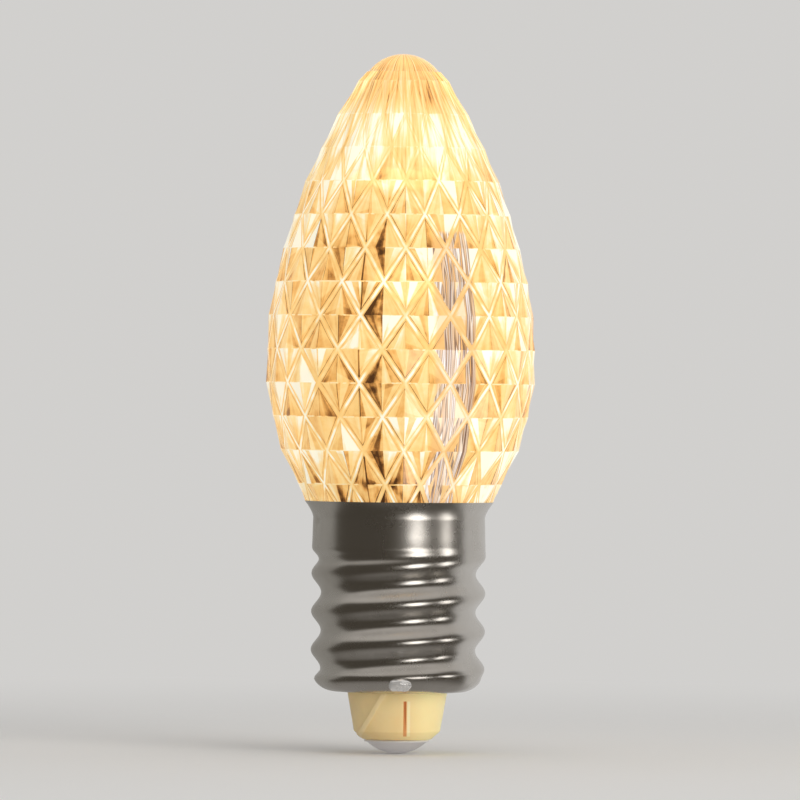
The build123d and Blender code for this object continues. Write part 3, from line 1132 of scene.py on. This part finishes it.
def makeSolderJoint(sizes):
    piece = finishedCopy("solder_joint", "solderJoint", 0)
    low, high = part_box("solder_joint")
    remesh = piece.modifiers.new("bead", "REMESH")
    remesh.mode = "VOXEL"
    remesh.voxel_size = sizes["voxel"] * mm
    smooth = piece.modifiers.new("soften", "SMOOTH")
    smooth.iterations = sizes["softening"]
    plainPiece(piece)
    for vertex in piece.data.vertices:
        lump = noise.noise(vertex.co / mm * sizes["unevenScale"])
        moved = vertex.co + vertex.normal * (lump * sizes["unevenness"] * mm)
        vertex.co = Vector(min(max(moved[i], low[i]), high[i]) for i in range(3))
    for polygon in piece.data.polygons:
        polygon.use_smooth = True
    return piece


standFor(makeSolderJoint(jointSizes), "solder_joint", solder)

# Inside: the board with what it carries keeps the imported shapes.
innerPieces = (
    ("circuit_board", "circuitBoardPiece", "board", whiteBoard, 0.04),
    ("capacitor", "capacitorPiece", "brown_ceramic", brownCeramic, 0.04),
    ("rectifier", "rectifierPiece", "black_package", blackPackage, 0.04),
    ("resistor", "resistorPiece", "black_package", blackPackage, 0.03),
    ("neutral_lead", "neutralLeadPiece", "lead_wire", tinnedWire, 0),
    ("live_lead", "liveLeadPiece", "lead_wire", tinnedWire, 0),
)
for node, name, slot, material, edge in innerPieces:
    standFor(finishedCopy(node, name, edge), node, material)

# Lights: the lit part is round, shifted away from the board on the sides and up on the top one.
ledLook = {
    "body": (0.88, 0.84, 0.72, 1),
    "phosphor": (1.0, 0.62, 0.16, 1),
    "glow": (1.0, 0.90, 0.72, 1),
    "sideStrength": 0.8,
    "topStrength": 1.0,
    "sideRadius": 1.15,
    "topRadius": 1.3,
    "sideShift": 0.2,
    "topShift": 0.35,
    "litEdge": 0.9,
    "speckScale": 3000,
    "bodyRoughness": 0.4,
    "edge": 0.03,
}


def makeLedMaterial(look, name, radius, centre, strength):
    material, tree, shader = newMaterial(name)
    place = objectPlace(tree)
    away = vectorCalc("DISTANCE", place, tuple(centre))
    lit = spread(away, radius * mm, radius * look["litEdge"] * mm)
    phosphor = blendColor(cloud(place, look["speckScale"]), look["phosphor"], look["glow"])
    finish = {
        "Base Color": blendColor(lit, look["body"], phosphor),
        "Emission Color": blendColor(lit, noLight, look["glow"]),
        "Emission Strength": strength,
        "Roughness": look["bodyRoughness"],
    }
    plugAll(shader, finish)
    return material


for node, name, reach in (
    ("front_led", "frontLight", -1),
    ("back_led", "backLight", 1),
    ("top_led", "topLight", 0),
):
    low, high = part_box(node)
    if reach:
        centre = (low + high) / 2 + Vector((0, ledLook["sideShift"] * reach, 0)) * mm
        radius, strength = ledLook["sideRadius"], ledLook["sideStrength"]
    else:
        centre = Vector((0, 0, (low.z + high.z) / 2 + ledLook["topShift"] * mm))
        radius, strength = ledLook["topRadius"], ledLook["topStrength"]
    material = makeLedMaterial(ledLook, name + "Glow", radius, centre, strength)
    standFor(finishedCopy(node, name, ledLook["edge"]), node, material)
print("inner pieces made")

# Floor, lights, background and camera. A window is (turn, elevation, half width, half height) in
# degrees, and a lamp (turn to the right, elevation, distance, width, height, watts).
stageLook = {
    "background": (0.64, 0.63, 0.615, 1),
    "floorColor": (0.95, 0.94, 0.92, 1),
    "floorRoughness": 0.9,
    "floorHeight": -0.02,
    "floorReach": 1500,
    "fill": (0.45, 0.45, 0.45, 1),
    "fade": (30.0, 150.0),
    "frontShade": (0.078, 0.068, 0.055, 1),
    "backShade": (0.66, 0.65, 0.64, 1),
    "leftShade": (0.36, 0.35, 0.33, 1),
    "ceilingShade": (0.60, 0.575, 0.55, 1),
    "floorShade": (0.31, 0.295, 0.28, 1),
    "frontRange": (0.16, 0.0),
    "rightRange": (-0.5, 0.3),
    "ceilingRange": (0.55, 0.8),
    "floorRange": (-0.6, -0.85),
    "windowRange": (1.15, 0.75),
    "windowColor": (2.9, 2.82, 2.74, 1),
    "windows": ((24.0, -11.0, 14.0, 16.5), (66.0, -10.0, 8.0, 15.5)),
    "roomCentre": (0, 0, 10),
    "lampColor": (1, 0.98, 0.95),
    "lampAim": 12,
    "lamps": {
        "keyStrip": (21, 3, 420, 100, 90, 0.15),
        "topSoftbox": (20, 70, 500, 300, 300, 0.3),
        "sideFill": (38, 15, 500, 300, 300, 1.0),
    },
}
cameraLook = {
    "distance": 620.0,
    "elevation": 0.2,
    "aimHeight": 23.55,
    "aimAside": -0.02,
    "viewHeight": 53.3,
    "roll": 0.6,
    "sensor": 36.0,
    "clip": (0.01, 20),  # metres
}


def makeRoomShade(look):
    # what polished surfaces see: a dark room in front with soft windows, the pale backdrop
    # behind, which is darker to the left, the ceiling and the floor
    inputs, outputs = {"Direction": (0, 0, 0)}, {"Color": "Color"}
    group, given, put = makeGroup("ShaderNodeTree", "roomShade", inputs, outputs)
    x, y, z = separate(vectorCalc("NORMALIZE", given["Direction"]))
    toRight = spread(x, *look["rightRange"], smooth=True)
    level = blendColor(toRight, look["leftShade"], look["backShade"])
    for axis, part in ((y, "front"), (z, "ceiling"), (z, "floor")):
        share = spread(axis, *look[part + "Range"], smooth=True)
        level = blendColor(share, level, look[part + "Shade"])
    turn, elevation = calc("ARCTAN2", x, -y), calc("ARCSINE", z)
    for windowTurn, windowElevation, halfWidth, halfHeight in look["windows"]:
        across = (turn - math.radians(windowTurn)) / math.radians(halfWidth)
        along = (elevation - math.radians(windowElevation)) / math.radians(halfHeight)
        off = vectorCalc("LENGTH", combine(across, along))
        share = spread(off, *look["windowRange"], smooth=True)
        level = blendColor(share, level, look["windowColor"])
    plug(level, put["Color"])
    return group


def roomColor(direction):
    return add(direction.tree, "ShaderNodeGroup", {"Direction": direction}, node_tree=roomShade)


def mixShaders(share, low, high):
    return add(share.tree, "ShaderNodeMixShader", {0: share, 1: low, 2: high})


def makeFloor(look):
    # it takes the object's shadow, fades into the background, and shows the room to metal
    material, tree, shader = newMaterial("paleFloor")
    plugAll(shader, {"Base Color": look["floorColor"], "Roughness": look["floorRoughness"]})
    place = objectPlace(tree)
    far = zoneMask(vectorCalc("LENGTH", place), look["fade"])
    plain = add(tree, "ShaderNodeEmission", {"Color": look["background"]})
    seen = mixShaders(far, Wire(tree, shader.outputs[0]), plain)
    room = roomColor(vectorCalc("SUBTRACT", place, tuple(Vector(look["roomCentre"]) * mm)))
    mirrored = add(tree, "ShaderNodeEmission", {"Color": room})
    seen = mixShaders(add(tree, "ShaderNodeLightPath", output="Is Glossy Ray"), seen, mirrored)
    # it is open from below, so that the bottom of the bulb can be looked at
    clear = add(tree, "ShaderNodeBsdfTransparent")
    seen = mixShaders(add(tree, "ShaderNodeNewGeometry", output="Backfacing"), seen, clear)
    plug(seen, nodeOf(tree, "OUTPUT_MATERIAL").inputs["Surface"])
    floorMesh = bpy.data.meshes.new("floor")
    reach, height = look["floorReach"] * mm, look["floorHeight"] * mm
    corners = [(x * reach, y * reach, height) for x, y in ((-1, -1), (1, -1), (1, 1), (-1, 1))]
    floorMesh.from_pydata(corners, [], [(0, 1, 2, 3)])
    floorMesh.materials.append(material)
    addPiece("floor", floorMesh)


def makeWorld(look):
    # plain behind the object, an even fill on it, and the room in its reflections
    world = bpy.data.worlds.new("studio")
    bpy.context.scene.world = world
    world.use_nodes = True
    tree = world.node_tree
    tree.nodes.clear()
    room = roomColor(add(tree, "ShaderNodeTexCoord", output="Generated"))
    path = wires(tree, addNode(tree, "ShaderNodeLightPath"))
    plain = calc("MAXIMUM", path["Is Camera Ray"], path["Is Transmission Ray"])
    color = blendColor(path["Is Glossy Ray"], look["fill"], room)
    color = blendColor(plain, color, look["background"])
    background = add(tree, "ShaderNodeBackground", {"Color": color})
    addNode(tree, "ShaderNodeOutputWorld", {"Surface": background})


def outwardFrom(turn, elevation):
    a, e = math.radians(turn), math.radians(elevation)
    return Vector((math.sin(a) * math.cos(e), -math.cos(a) * math.cos(e), math.sin(e)))


def addLamp(look, name, turn, elevation, distance, width, height, power):
    light = bpy.data.lights.new(name, "AREA")
    light.shape = "RECTANGLE"
    light.size, light.size_y = width * mm, height * mm
    light.energy = power
    light.color = look["lampColor"]
    lamp = bpy.data.objects.new(name, light)
    lamp.visible_glossy = False  # metal mirrors the room's windows instead
    bpy.context.scene.collection.objects.link(lamp)
    outward = outwardFrom(turn, elevation)
    lamp.location = Vector((0, 0, look["lampAim"] * mm)) + outward * distance * mm
    lamp.rotation_euler = outward.to_track_quat("Z", "Y").to_euler()


def makeCamera(look):
    data = bpy.data.cameras.new("camera")
    camera = bpy.data.objects.new("camera", data)
    bpy.context.scene.collection.objects.link(camera)
    bpy.context.scene.camera = camera
    data.sensor_width = look["sensor"]
    data.lens = look["sensor"] * look["distance"] / look["viewHeight"]
    data.clip_start, data.clip_end = look["clip"]
    aim = Vector((look["aimAside"], 0, look["aimHeight"])) * mm
    outward = outwardFrom(0, look["elevation"])
    camera.location = aim + outward * look["distance"] * mm
    roll = Matrix.Rotation(math.radians(look["roll"]), 3, "Z")
    camera.rotation_euler = (outward.to_track_quat("Z", "Y").to_matrix() @ roll).to_euler()


roomShade = makeRoomShade(stageLook)
makeFloor(stageLook)
makeWorld(stageLook)
for name, lamp in stageLook["lamps"].items():
    addLamp(stageLook, name, *lamp)
makeCamera(cameraLook)
bpy.context.scene.view_settings.view_transform = "Standard"
print("stage and camera made")
